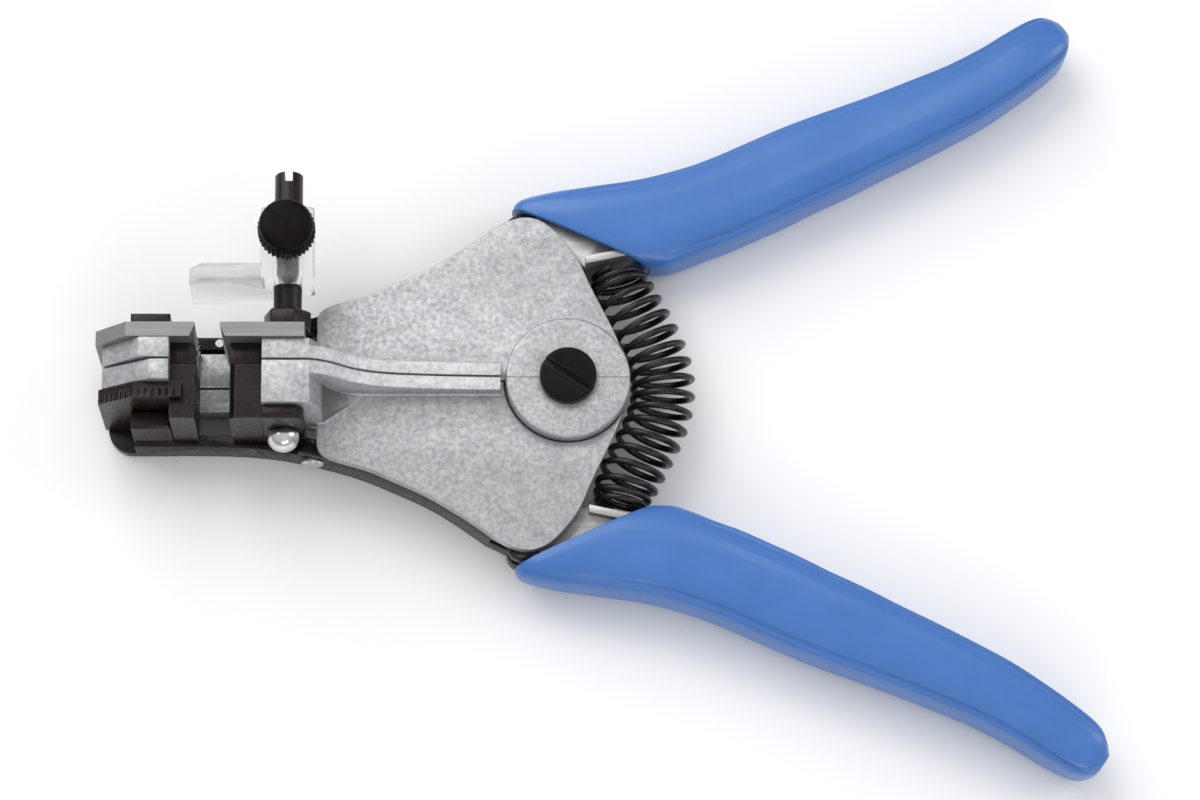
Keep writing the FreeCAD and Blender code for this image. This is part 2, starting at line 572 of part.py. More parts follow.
# ----------------------------------------------------------------------------- stop post, nut, stop and thumb screw
PX, PZ = -49.6, 19.0
post = new_body("stop_post")
pad(post, "XZ_Plane", 1.1, 6.0, [("C", (PX, PZ), "post_stud")])
pad(post, "XZ_Plane", 6.5, "post_len", [("C", (PX, PZ), "post_rad")])
dress(post, "Chamfer", lambda e: flat_at(e, "y", 6.5 + D["post_len"]), 0.3)
cut(post, "XZ_Plane", 6.5 + D["post_len"] - 1.9, 3.0, poly((PX - 0.7, PZ - 4), (PX + 0.7, PZ - 4), (PX + 0.7, PZ + 4), (PX - 0.7, PZ + 4)))

nut = new_body("post_nut")
hexpts = [(PX + D["nut_rad"] * math.cos(math.radians(60 * i + 12)), PZ + D["nut_rad"] * math.sin(math.radians(60 * i + 12))) for i in range(6)]
pad(nut, "XZ_Plane", 7.1, "nut_thk", poly(*hexpts))
cut(nut, "XZ_Plane", 6.8, 4.0, [("C", (PX, PZ), 2.52)])
dress(nut, "Chamfer", lambda e: flat_at(e, "y", 7.1 + D["nut_thk"]) and e.Length < 6, 0.35)
washer = new_body("post_washer")
pad(washer, "XZ_Plane", 6.5, 0.58, [("C", (PX, PZ), 4.0)])
cut(washer, "XZ_Plane", 6.3, 1.0, [("C", (PX, PZ), 2.55)])

stop = new_body("wire_stop")
pad(stop, "XZ_Plane", 14.9, "stop_plate_thk", poly((-66.8, 9.8), (-52.0, 9.8), (-52.0, 25.0), (-64.4, 25.0), (-66.8, 22.0)))
pad(stop, "XZ_Plane", 14.9, "stop_block_high", poly((PX - 4.7, 14.4), (PX + 4.7, 14.4), (PX + 4.7, 25.4), (PX - 4.7, 25.4)))
cut(stop, "XZ_Plane", 14.0, 15.0, [("C", (PX, PZ), 2.6)])
cut(stop, "XY_Plane", 20.0, 6.0, [("C", (PX, 22.6), 1.6)])
dress(stop, "Fillet", lambda e: abs(e.BoundBox.XMin - (PX + 4.7)) < 0.01 and e.BoundBox.XLength < 0.01 and e.BoundBox.YLength > 10, 1.2)
dress(stop, "Fillet", lambda e: abs(e.BoundBox.XMin - (PX - 4.7)) < 0.01 and e.BoundBox.XLength < 0.01 and e.BoundBox.YLength > 8, 1.2)

thumb = new_body("thumb_screw")
pad(thumb, "XY_Plane", 21.7, 4.2, [("C", (PX, 22.6), "thumb_shank")])
kn = []
nk = 28
for i in range(nk):
    a0 = 2 * math.pi * i / nk
    a1 = 2 * math.pi * (i + 0.5) / nk
    kn.append((PX + 5.05 * math.cos(a0), 22.6 + 5.05 * math.sin(a0)))
    kn.append((PX + 4.6 * math.cos(a1), 22.6 + 4.6 * math.sin(a1)))
pad(thumb, "XY_Plane", 25.8, "knob_thk", poly(*kn))
cap = new_body("thumb_screw_cap")
pad(cap, "XY_Plane", 30.2, "cap_thk", [("C", (PX, 22.6), "cap_rad")])
dress(cap, "Fillet", lambda e: flat_at(e, "z", 30.2 + D["cap_thk"]), 0.9)

# ----------------------------------------------------------------------------- handles
def tang(label, m, z0):
    b = new_body(label)
    px, py = PIN
    # plate round the hub, out to the link pin and into the grip
    plate = [("A", (-7.4, 6.0), (0.0, -9.5), (9.3, 2.0)), ("L", (9.3, 2.0), (5.0, 12.0)), ("L", (5.0, 12.0), (2.9, 17.0)), ("L", (2.9, 17.0), (1.9, 21.0)), ("L", (1.9, 21.0), (3.0, 22.5)), ("L", (3.0, 22.5), (3.8, 22.7)), ("L", (3.8, 22.7), (15.6, 25.3)),
             ("S", [(15.6, 25.3), (24.0, 28.4), (36.0, 33.6), (48.0, 39.3), (60.0, 45.3), (72.0, 51.6), (80.0, 57.0)]), ("L", (80.0, 57.0), (78.0, 61.6)),
             ("S", [(78.0, 61.6), (70.0, 57.2), (58.0, 52.2), (46.0, 47.7), (34.0, 42.9), (22.0, 37.8), (10.0, 34.9), (0.0, 34.2), (-6.0, 33.4)]),
             ("L", (-6.0, 33.4), (px + 0.2, py + 2.2)), ("A", (px + 0.2, py + 2.2), (px - 2.2, py), (px + 0.2, py - 2.2)), ("L", (px + 0.2, py - 2.2), (-4.6, 24.0)),
             ("L", (-4.6, 24.0), (-7.4, 6.0))]
    pad(b, "XY_Plane", z0, "tang_thk", segs_m(plate, m))
    cut(b, "XY_Plane", z0 - 0.5, 3.0, [("C", (0, 0), "hub_bore")])
    cut(b, "XY_Plane", z0 - 0.5, 3.0, segs_m([("C", PIN, "link_pin_rad")], m))
    # folded spring seat along the inner edge
    zt = 10.6
    seat = [(3.6, 22.5), (15.4, 25.1), (15.2, 26.4), (3.6, 23.9)]
    pad(b, "XY_Plane", z0, zt - z0, segs_m(poly(*seat), m))
    # front web between the mouth of the sleeve and the edge of the casting
    pad(b, "XY_Plane", 7.1, 1.6, segs_m(poly((3.4, 22.4), (15.2, 25.2), (18.0, 28.0), (18.0, 35.8), (0.0, 33.9), (-4.6, 33.3), (-5.2, 32.0), (-5.1, 29.4), (-3.4, 27.4), (-1.6, 25.6)), m))
    # folded back of the channel, inside the grip
    web_o = [(12.0, 35.4), (22.0, 37.8), (34.0, 42.9), (46.0, 47.7), (58.0, 52.2), (70.0, 57.2), (77.6, 61.4)]
    web_i = [(78.4, 60.2), (70.6, 56.0), (58.6, 51.0), (46.6, 46.5), (34.6, 41.7), (22.4, 36.6), (12.3, 34.2)]
    pad(b, "XY_Plane", z0, 10.4 - z0, segs_m([("S", web_o), ("L", web_o[-1], web_i[0]), ("S", web_i), ("L", web_i[-1], web_o[0])], m))
    # front flange of the channel
    fl = [("L", (17.0, 27.4), (17.0, 36.4)), ("S", [(17.0, 36.4), (22.0, 37.6), (34.0, 42.6), (46.0, 47.4), (58.0, 51.9), (70.0, 56.9), (77.4, 61.0)]),
          ("L", (77.4, 61.0), (79.4, 57.2)), ("S", [(79.4, 57.2), (72.0, 52.2), (60.0, 45.9), (48.0, 39.9), (36.0, 34.2), (24.0, 29.2), (17.0, 27.4)])]
    pad(b, "XY_Plane", 9.0, 1.4, segs_m(fl, m))
    return b


upper_tang = tang("upper_handle", 1, 2.2)
lower_tang = tang("lower_handle", -1, 4.4)


STATIONS = [((-9.6, 33.3), (15.3, 22.2), 5.3), ((-8.3, 35.2), (16.1, 22.15), 5.8), ((-3.2, 36.6), (18.9, 22.3), 6.1), ((4.5, 37.7), (22.2, 23.5), 6.25),
            ((13.0, 38.9), (26.0, 25.2), 6.25), ((21.0, 41.0), (30.4, 26.9), 6.25), ((27.3, 43.4), (35.0, 29.0), 6.25), ((33.4, 46.2), (40.6, 31.6), 6.25),
            ((39.4, 48.9), (46.2, 34.5), 6.25), ((45.4, 51.3), (52.2, 37.4), 6.25), ((51.4, 53.5), (58.5, 40.76), 6.25), ((57.75, 55.94), (64.94, 44.0), 6.25),
            ((64.19, 58.57), (71.37, 47.43), 6.25), ((70.62, 61.3), (77.8, 51.06), 6.2), ((77.05, 64.74), (83.81, 55.18), 6.1), ((82.2, 68.02), (88.95, 59.07), 5.9),
            ((86.38, 70.47), (92.6, 62.3), 5.4), ((89.38, 71.38), (94.0, 65.0), 4.6), ((91.74, 70.97), (94.5, 67.4), 3.2)]


def grip_section(o, i, half, mz, m):
    ax, ay = (o[0] - i[0]) / 2, (o[1] - i[1]) / 2
    cx, cy = (o[0] + i[0]) / 2, (o[1] + i[1]) / 2
    pts = []
    n = 20
    for k in range(n):
        a = 2 * math.pi * (k + 0.5) / n
        c, q = math.cos(a), math.sin(a)
        c = math.copysign(abs(c) ** 0.72, c)
        q = math.copysign(abs(q) ** 0.62, q)
        pts.append(V(cx + ax * c, m * (cy + ay * c), mz + half * q))
    curve = Part.BSplineCurve()
    curve.interpolate(pts, PeriodicFlag=True)
    return Part.Wire([curve.toShape()])


def grip(label, m, core):
    half = D["grip_thk"] / 2
    sections = []
    for k, (o, i, h) in enumerate(STATIONS):
        w = doc.addObject("Part::Feature", "%s_section%02d" % (label, k))
        w.Shape = grip_section(o, i, h / 6.25 * half, half + 0.2, m)
        sections.append(w)
    loft = doc.addObject("Part::Loft", label + "_blank")
    loft.Sections = sections
    loft.Solid = True
    loft.Ruled = False
    doc.recompute()
    check(loft)
    c = doc.addObject("Part::Cut", label)
    c.Label = label
    c.Base = loft
    c.Tool = core
    doc.recompute()
    check(c)
    NODES.append(c)
    return c


grip("upper_grip", 1, upper_tang)
grip("lower_grip", -1, lower_tang)


def link_pin(label, m):
    b = new_body(label)
    pad(b, "XY_Plane", 0.4, 8.2, segs_m([("C", PIN, "link_pin_rad")], m))
    return b


link_pin("upper_link_pin", 1)
link_pin("lower_link_pin", -1)


# ----------------------------------------------------------------------------- springs, swept along their helices
def spring(label, path, wire):
    """closed coil from centre-line points"""
    c = Part.BSplineCurve()
    c.interpolate(path)
    spine = Part.Wire([c.toShape()])
    t = c.tangent(c.FirstParameter)[0]
    prof = Part.Wire([Part.Circle(path[0], t, wire).toShape()])
    sh = spine.makePipeShell([prof], True, True)
    f = doc.addObject("Part::Feature", label)
    f.Label = label
    f.Shape = sh
    NODES.append(f)
    return f


def bowed_coil(x_end, bow, y_end, zc, turns, coil, per_turn=12):
    """helix along a centre line in the XY plane that bows towards +X; its end turns lie close together"""
    pts = []
    n = int(turns * per_turn)
    w = math.pi / 2 / (1.25 * y_end)
    dead, close = 1.4, 1.36
    pitch = 2 * (y_end - dead * close) / (turns - 2 * dead)
    for i in range(n + 1):
        t = i / per_turn
        e = min(t, turns - t)
        d = e * close if e < dead else dead * close + (e - dead) * pitch
        y = -y_end + d if t < turns / 2 else y_end - d
        x = x_end + bow * math.cos(w * y) ** 2
        slope = -2 * bow * w * math.cos(w * y) * math.sin(w * y)
        side = V(1.0, -0.8 * slope, 0).normalize()
        r = coil - 0.9 * max(0.0, 1.0 - e / 2.2)
        ph = 2 * math.pi * t
        pts.append(V(x, y, zc) + side * (r * math.cos(ph)) - V(0, 0, r * math.sin(ph)))
    return pts


spring("return_spring", bowed_coil(8.5, 8.9, 21.0, 6.8, D["coil_turns"], D["coil_rad"]), D["wire_rad"])


def straight_coil(x, z, y0, y1, turns, coil, per_turn=12):
    pts = []
    n = int(turns * per_turn)
    for i in range(n + 1):
        u = i / n
        ph = 2 * math.pi * turns * u
        pts.append(V(x + coil * math.cos(ph), y0 + (y1 - y0) * u, z + coil * math.sin(ph)))
    return pts


spring("closing_spring", straight_coil(-23.8, 5.4, -7.6, 7.6, D["closing_turns"], D["closing_coil_rad"]), D["closing_wire_rad"])

# ----------------------------------------------------------------------------- check and write
doc.recompute()
for o in doc.Objects:
    check(o)
os.makedirs("parts", exist_ok=True)
for old in os.listdir("parts"):
    if old.endswith(".step"):
        os.remove(os.path.join("parts", old))
for n in NODES:
    s = n.Shape
    if s.isNull() or not s.isValid():
        raise RuntimeError("%s has no valid shape" % n.Label)
    if not s.Solids:
        raise RuntimeError("%s has no solid" % n.Label)
for n in NODES:
    s = n.Shape
    out = s if s.ShapeType == "Solid" else (s.Solids[0] if len(s.Solids) == 1 else Part.makeCompound(s.Solids))
    out.exportStep("parts/%s.step" % n.Label)
    bb = out.BoundBox
    print("%-22s solids %d  vol %9.2f  x %.1f..%.1f y %.1f..%.1f z %.1f..%.1f" % (n.Label, len(s.Solids), s.Volume, bb.XMin, bb.XMax, bb.YMin, bb.YMax, bb.ZMin, bb.ZMax))
print(len(NODES), "nodes")
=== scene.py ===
import json
import math

import bmesh
import bpy
from mathutils import Matrix, Vector, noise


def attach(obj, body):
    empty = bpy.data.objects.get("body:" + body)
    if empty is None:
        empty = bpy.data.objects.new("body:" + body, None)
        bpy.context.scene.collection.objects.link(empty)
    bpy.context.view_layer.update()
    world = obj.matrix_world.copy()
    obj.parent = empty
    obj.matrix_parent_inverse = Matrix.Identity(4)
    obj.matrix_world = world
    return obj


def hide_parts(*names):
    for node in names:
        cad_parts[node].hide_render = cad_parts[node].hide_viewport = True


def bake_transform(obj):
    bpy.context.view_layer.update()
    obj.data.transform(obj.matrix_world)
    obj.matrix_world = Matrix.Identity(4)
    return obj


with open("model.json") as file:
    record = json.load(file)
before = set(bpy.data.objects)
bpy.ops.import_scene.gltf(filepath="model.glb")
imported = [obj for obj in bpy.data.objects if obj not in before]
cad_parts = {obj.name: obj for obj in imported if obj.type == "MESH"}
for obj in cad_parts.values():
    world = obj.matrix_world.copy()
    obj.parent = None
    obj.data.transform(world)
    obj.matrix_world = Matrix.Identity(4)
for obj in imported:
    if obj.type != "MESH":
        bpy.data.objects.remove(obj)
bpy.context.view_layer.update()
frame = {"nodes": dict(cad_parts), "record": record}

MM = 0.001
N = frame["nodes"]
RECORD = frame["record"]
scene = bpy.context.scene
SLOT = {s["node"]: s["material_slot"] for s in RECORD["subparts"]}
BODY = {n: b for b, ns in RECORD["behaviour"]["bodies"].items() for n in ns}


# ============================================================================ node-material helper
class Net:
    def __init__(self, name):
        self.mat = bpy.data.materials.new(name)
        self.mat.use_nodes = True
        self.t = self.mat.node_tree
        self.t.nodes.clear()
        self.out = self.t.nodes.new("ShaderNodeOutputMaterial")
        self.b = self.t.nodes.new("ShaderNodeBsdfPrincipled")
        self.t.links.new(self.b.outputs[0], self.out.inputs[0])
        self.co = self.t.nodes.new("ShaderNodeTexCoord").outputs["Object"]

    def node(self, kind, **props):
        n = self.t.nodes.new(kind)
        for k, v in props.items():
            setattr(n, k, v)
        return n

    def put(self, socket, value):
        if isinstance(value, bpy.types.NodeSocket):
            self.t.links.new(value, socket)
        elif isinstance(value, (tuple, list)) and len(value) == 3 and socket.type == "RGBA":
            socket.default_value = (*value, 1.0)
        else:
            socket.default_value = value

    def set(self, **kw):
        for k, v in kw.items():
            self.put(self.b.inputs[k.replace("_", " ")], v)

    def stretched(self, scale, turn=(0, 0, 0)):
        m = self.node("ShaderNodeMapping")
        self.put(m.inputs["Vector"], self.co)
        m.inputs["Scale"].default_value = scale
        m.inputs["Rotation"].default_value = turn
        return m.outputs[0]

    def noise(self, scale, detail=3.0, rough=0.55, vec=None, distortion=0.0):
        n = self.node("ShaderNodeTexNoise")
        self.put(n.inputs["Vector"], vec if vec is not None else self.co)
        n.inputs["Scale"].default_value = scale
        n.inputs["Detail"].default_value = detail
        n.inputs["Roughness"].default_value = rough
        n.inputs["Distortion"].default_value = distortion
        return n.outputs[0]

    def cells(self, scale, feature="F1", vec=None):
        n = self.node("ShaderNodeTexVoronoi", feature=feature)
        self.put(n.inputs["Vector"], vec if vec is not None else self.co)
        n.inputs["Scale"].default_value = scale
        return n.outputs["Distance"]

    def ramp(self, fac, stops):
        n = self.node("ShaderNodeValToRGB")
        self.put(n.inputs[0], fac)
        while len(n.color_ramp.elements) < len(stops):
            n.color_ramp.elements.new(0.5)
        for e, (p, c) in zip(n.color_ramp.elements, stops):
            e.position = p
            e.color = (c, c, c, 1.0) if isinstance(c, (int, float)) else (*c, 1.0)
        return n.outputs[0]

    def mix(self, fac, a, b, how="MIX"):
        n = self.node("ShaderNodeMix", data_type="RGBA", blend_type=how)
        self.put(n.inputs[0], fac)
        self.put(n.inputs[6], a)
        self.put(n.inputs[7], b)
        return n.outputs[2]

    def math(self, op, a, b=0.5, c=None, clamp=False):
        n = self.node("ShaderNodeMath", operation=op, use_clamp=clamp)
        self.put(n.inputs[0], a)
        self.put(n.inputs[1], b)
        if c is not None:
            self.put(n.inputs[2], c)
        return n.outputs[0]

    def span(self, fac, lo, hi, a=0.0, b=1.0):
        n = self.node("ShaderNodeMapRange")
        self.put(n.inputs[0], fac)
        n.inputs[1].default_value = lo
        n.inputs[2].default_value = hi
        n.inputs[3].default_value = a
        n.inputs[4].default_value = b
        return n.outputs[0]

    def round_edges(self, radius, samples=6):
        n = self.node("ShaderNodeBevel", samples=samples)
        n.inputs["Radius"].default_value = radius
        return n.outputs[0]

    def edge_mask(self, radius, gain=4.0, samples=6):
        """1 on convex and concave edges, 0 on flats"""
        wide = self.round_edges(radius, samples)
        geo = self.node("ShaderNodeNewGeometry")
        dot = self.node("ShaderNodeVectorMath", operation="DOT_PRODUCT")
        self.put(dot.inputs[0], wide)
        self.put(dot.inputs[1], geo.outputs["Normal"])
        inv = self.math("SUBTRACT", 1.0, dot.outputs["Value"])
        return self.math("MULTIPLY", inv, gain, clamp=True)

    def bump(self, height, distance, strength=1.0, normal=None):
        n = self.node("ShaderNodeBump")
        n.inputs["Strength"].default_value = strength
        n.inputs["Distance"].default_value = distance
        self.put(n.inputs["Height"], height)
        if normal is not None:
            self.put(n.inputs["Normal"], normal)
        return n.outputs[0]


def cast_alloy(name="cast_alloy", tone=1.0, edge=0.00045, seam=False):
    """tumbled die-cast alloy: blotches, pepper-fine pits, polished edges"""
    m = Net(name)
    blotch = m.noise(1150, 4.0, 0.66)
    speck = m.noise(3300, 3.0, 0.6)
    cloud = m.noise(260, 5.0, 0.6)
    base = m.ramp(blotch, [(0.34, (0.335 * tone, 0.344 * tone, 0.354 * tone)), (0.5, (0.425 * tone, 0.435 * tone, 0.445 * tone)), (0.66, (0.515 * tone, 0.525 * tone, 0.535 * tone))])
    fine = m.ramp(speck, [(0.30, 0.86), (0.48, 0.99), (0.68, 1.06)])
    base = m.mix(1.0, base, fine, "MULTIPLY")
    base = m.mix(1.0, base, m.ramp(cloud, [(0.32, 0.88), (0.68, 1.07)]), "MULTIPLY")
    pits = m.ramp(m.cells(1300), [(0.0, 0.0), (0.08, 0.0), (0.14, 1.0)])
    base = m.mix(m.math("SUBTRACT", 1.0, m.math("MULTIPLY", m.math("SUBTRACT", 1.0, pits), 0.35)), (0.20, 0.205, 0.21), base)
    wear = m.edge_mask(0.0006, 5.0)
    base = m.mix(m.math("MULTIPLY", wear, 0.5), base, (0.80, 0.805, 0.815))
    rough = m.math("SUBTRACT", m.span(blotch, 0.25, 0.75, 0.58, 0.44), m.math("MULTIPLY", wear, 0.16))
    h = m.math("ADD", m.math("MULTIPLY", speck, 0.55), m.math("MULTIPLY", blotch, 0.9))
    h = m.math("ADD", h, m.math("MULTIPLY", pits, 0.25))
    # with seam set, the material also gets a painted highlight on the rail and painted shade in the hollow beside the
    # head, besides the mould hairline
    if seam:
        sep = m.node("ShaderNodeSeparateXYZ")
        m.put(sep.inputs[0], m.co)
        X, Y, Z = sep.outputs
        # hairline of the mould across the front of the hub boss
        wander = m.math("MULTIPLY", m.math("SUBTRACT", m.noise(500, 2.0), 0.5), 0.00022)
        near = m.span(m.math("ABSOLUTE", m.math("ADD", Y, wander)), 0.00004, 0.00011, 1.0, 0.0)
        line = m.math("MULTIPLY", m.math("MULTIPLY", near, m.span(Z, 0.0136, 0.0139)), m.span(X, -0.0115, -0.0113))
        base = m.mix(m.math("MULTIPLY", line, 0.62), base, (0.09, 0.09, 0.092))
        h = m.math("SUBTRACT", h, m.math("MULTIPLY", line, 2.2))
        # the raised rail is lightened: partly real rubbed polish, partly a painted highlight standing in for the
        # reflection its sloped face does not catch
        rail_polish_and_highlight = m.math("MULTIPLY", m.span(m.math("ABSOLUTE", Y), 0.0024, 0.0026, 1.0, 0.0), m.math("MULTIPLY", m.span(Z, 0.0141, 0.0144), m.math("MULTIPLY", m.span(X, -0.0121, -0.0119, 1.0, 0.0), m.span(X, -0.0475, -0.0400, 0.0, 1.0))))
        base = m.mix(m.math("MULTIPLY", rail_polish_and_highlight, m.span(blotch, 0.3, 0.7, 0.30, 0.70)), base, (0.80, 0.805, 0.815))
        # painted shade: the hollow beside the head is darkened in the colour, standing in for the shade that falls
        # there
        painted_hollow_shade = m.math("MULTIPLY", m.span(Z, 0.0116, 0.0124), m.math("MULTIPLY", m.span(Y, -0.0027, -0.0025, 1.0, 0.0), m.span(X, -0.0437, -0.0434)))
        painted_hollow_shade = m.math("MULTIPLY", m.math("MULTIPLY", painted_hollow_shade, m.span(X, -0.0368, -0.0362, 1.0, 0.0)), m.span(X, -0.0430, -0.0365, 1.0, 0.35))
        base = m.mix(m.math("MULTIPLY", painted_hollow_shade, 0.72), base, (0.105, 0.10, 0.098))
    m.set(Base_Color=base, Metallic=0.72, Roughness=rough, Normal=m.bump(h, 0.00006, 0.5, m.round_edges(edge)))
    return m.mat


def black_oxide(name="black_oxide", base=(0.0100, 0.0054, 0.0042), rough=(0.22, 0.38), edge=0.00022, gloss=0.26, worn=0.6):
    m = Net(name)
    n1 = m.noise(1100, 3.0)
    n2 = m.noise(190, 3.0)
    fine = m.noise(3600, 2.0)
    c = m.mix(m.span(n2, 0.3, 0.7), tuple(v * 0.70 for v in base), tuple(v * 1.35 for v in base))
    c = m.mix(1.0, c, m.ramp(n1, [(0.3, 0.78), (0.7, 1.22)]), "MULTIPLY")
    # edges are lightened, partly as real worn oxide in patches and partly as a painted edge highlight along every edge
    wear = m.edge_mask(0.00035, 4.0)
    patch = m.ramp(m.noise(420, 4.0, 0.7), [(0.44, 0.0), (0.60, 1.0)])
    wear = m.math("MULTIPLY", wear, m.math("ADD", m.math("MULTIPLY", patch, worn), 0.20))
    c = m.mix(wear, c, (0.19, 0.18, 0.175))
    m.set(Base_Color=c, Metallic=m.math("MULTIPLY", wear, 0.6), Roughness=m.span(n1, 0.3, 0.7, *rough), Normal=m.bump(m.math("ADD", fine, n1), 0.00004, 0.5, m.round_edges(edge)))
    m.b.inputs["Specular IOR Level"].default_value = gloss
    return m.mat


def ground_steel(name, tone, along="x", rough=(0.28, 0.44), metallic=0.9, edge=0.0002):
    """steel with grinding lines along one axis"""
    m = Net(name)
    sc = {"x": (60, 2600, 2600), "y": (2600, 60, 2600), "z": (2600, 2600, 60)}[along]
    lines = m.noise(1.0, 2.5, 0.6, m.stretched(sc))
    cloud = m.noise(240, 3.0)
    c = m.mix(m.span(lines, 0.3, 0.7), tuple(v * 0.84 for v in tone), tuple(v * 1.13 for v in tone))
    c = m.mix(1.0, c, m.ramp(cloud, [(0.3, 0.90), (0.7, 1.06)]), "MULTIPLY")
    wear = m.edge_mask(0.0003, 4.0)
    c = m.mix(m.math("MULTIPLY", wear, 0.5), c, tuple(min(1.0, v * 1.6 + 0.08) for v in tone))
    m.set(Base_Color=c, Metallic=metallic, Roughness=m.span(cloud, 0.3, 0.7, *rough), Normal=m.bump(lines, 0.00002, 0.45, m.round_edges(edge)))
    return m.mat


def dipped_vinyl(name="dipped_vinyl"):
    m = Net(name)
    cloud = m.noise(60, 2.0)
    peel = m.noise(700, 2.0, 0.45)
    c = m.mix(m.span(cloud, 0.3, 0.7), (0.047, 0.150, 0.440), (0.060, 0.174, 0.485))
    c = m.mix(1.0, c, m.ramp(peel, [(0.3, 0.985), (0.7, 1.015)]), "MULTIPLY")
    m.set(Base_Color=c, Roughness=m.span(peel, 0.3, 0.7, 0.28, 0.33), Normal=m.bump(cloud, 0.00004, 0.10))
    m.b.inputs["Metallic"].default_value = 0.0
    m.b.inputs["IOR"].default_value = 1.52
    m.b.inputs["Coat Weight"].default_value = 0.12
    m.b.inputs["Coat Roughness"].default_value = 0.12
    m.b.inputs["Specular IOR Level"].default_value = 0.34
    return m.mat


def clear_plastic(name="clear_plastic"):
    m = Net(name)
    flow = m.noise(90, 2.0, 0.4, m.stretched((1, 3, 1)))
    scuff = m.noise(1.0, 2.0, 0.6, m.stretched((2600, 120, 2600)))
    m.set(Base_Color=m.mix(m.span(flow, 0.3, 0.7), (0.93, 0.945, 0.95), (0.97, 0.978, 0.98)), Roughness=m.span(scuff, 0.35, 0.75, 0.10, 0.22),
          Normal=m.bump(m.math("ADD", flow, m.math("MULTIPLY", scuff, 0.2)), 0.00012, 0.5, m.round_edges(0.0003)))
    m.b.inputs["Transmission Weight"].default_value = 0.90
    m.b.inputs["IOR"].default_value = 1.22
    return m.mat


def polished(name="polished"):
    m = Net(name)
    sc = m.noise(1.0, 2.0, 0.6, m.stretched((400, 5200, 400)))
    c = m.mix(m.span(m.noise(500, 2.0), 0.3, 0.7), (0.62, 0.62, 0.63), (0.78, 0.78, 0.79))
    m.set(Base_Color=c, Metallic=1.0, Roughness=m.span(sc, 0.3, 0.7, 0.12, 0.26), Normal=m.bump(sc, 0.00001, 0.3, m.round_edges(0.00015)))
    return m.mat


def spring_wire(name="spring_wire"):
    m = Net(name)
    n1 = m.noise(1500, 3.0)
    n2 = m.noise(260, 2.0)
    c = m.mix(m.span(n2, 0.3, 0.7), (0.0035, 0.0026, 0.0022), (0.0095, 0.0070, 0.0060))
    m.set(Base_Color=c, Metallic=m.span(n2, 0.3, 0.7, 0.0, 0.15), Roughness=m.span(n1, 0.3, 0.7, 0.20, 0.34), Normal=m.bump(n1, 0.00003, 0.4))
    m.b.inputs["Specular IOR Level"].default_value = 0.42
    return m.mat


def knob_plastic(name="knob_plastic"):
    m = Net(name)
    n1 = m.noise(2600, 3.0)
    n2 = m.noise(300, 2.0)
    c = m.mix(m.span(n2, 0.3, 0.7), (0.0035, 0.0027, 0.0020), (0.0085, 0.0067, 0.0052))
    wear = m.edge_mask(0.0003, 3.0)
    c = m.mix(m.math("MULTIPLY", wear, 0.35), c, (0.09, 0.085, 0.08))
    m.set(Base_Color=c, Roughness=m.span(n1, 0.3, 0.7, 0.36, 0.52), Normal=m.bump(n1, 0.00003, 0.5, m.round_edges(0.0002)))
    m.b.inputs["Metallic"].default_value = 0.0
    m.b.inputs["Specular IOR Level"].default_value = 0.07
    return m.mat


def pale_floor():
    m = Net("pale_floor")
    n = m.noise(3.0, 3.0)
    m.set(Base_Color=m.ramp(n, [(0.3, (0.88, 0.882, 0.886)), (0.7, (0.905, 0.906, 0.91))]), Roughness=0.75, Normal=m.bump(m.noise(900, 2.0), 0.0001, 0.1))
    m.b.inputs["Specular IOR Level"].default_value = 0.1
    return m.mat


MAT = {
    "cast_alloy": cast_alloy(),
    "black_steel": black_oxide(),
    "blade_steel": ground_steel("blade_steel", (0.255, 0.252, 0.255), "x", (0.38, 0.52), 0.7),
    "handle_steel": ground_steel("handle_steel", (0.42, 0.41, 0.405), "x", (0.36, 0.50), 0.75),
    "grip_vinyl": dipped_vinyl(),
    "clear_plastic": clear_plastic(),
    "bright_steel": polished(),
    "spring_steel": spring_wire(),
    "knob_black": knob_plastic(),
}
MAT_SCREW = black_oxide("screw_black", (0.0046, 0.0034, 0.0026), (0.30, 0.44), 0.00018, 0.12, 0.4)
MAT_SEAM_AND_PAINTED_LIGHT = cast_alloy("cast_alloy_seam_and_painted_light", seam=True)


# ============================================================================ mesh helpers
def link(ob):
    scene.collection.objects.link(ob)
    return ob


def mesh_object(name, verts, faces, mat, smooth=40.0):
    me = bpy.data.meshes.new(name)
    me.from_pydata([tuple(v) for v in verts], [], faces)
    me.validate()
    bm = bmesh.new()
    bm.from_mesh(me)
    bmesh.ops.recalc_face_normals(bm, faces=bm.faces)
    bm.to_mesh(me)
    bm.free()
    ob = link(bpy.data.objects.new(name, me))
    me.materials.append(mat)
    soften(ob, smooth)
    return ob


def soften(ob, degrees):
    """smooth faces, with edges sharper than the angle kept sharp"""
    me = ob.data
    bm = bmesh.new()
    bm.from_mesh(me)
    lim = math.radians(degrees)
    for f in bm.faces:
        f.smooth = True
    for e in bm.edges:
        e.smooth = not (len(e.link_faces) == 2 and e.calc_face_angle(0.0) > lim)
    bm.to_mesh(me)
    bm.free()


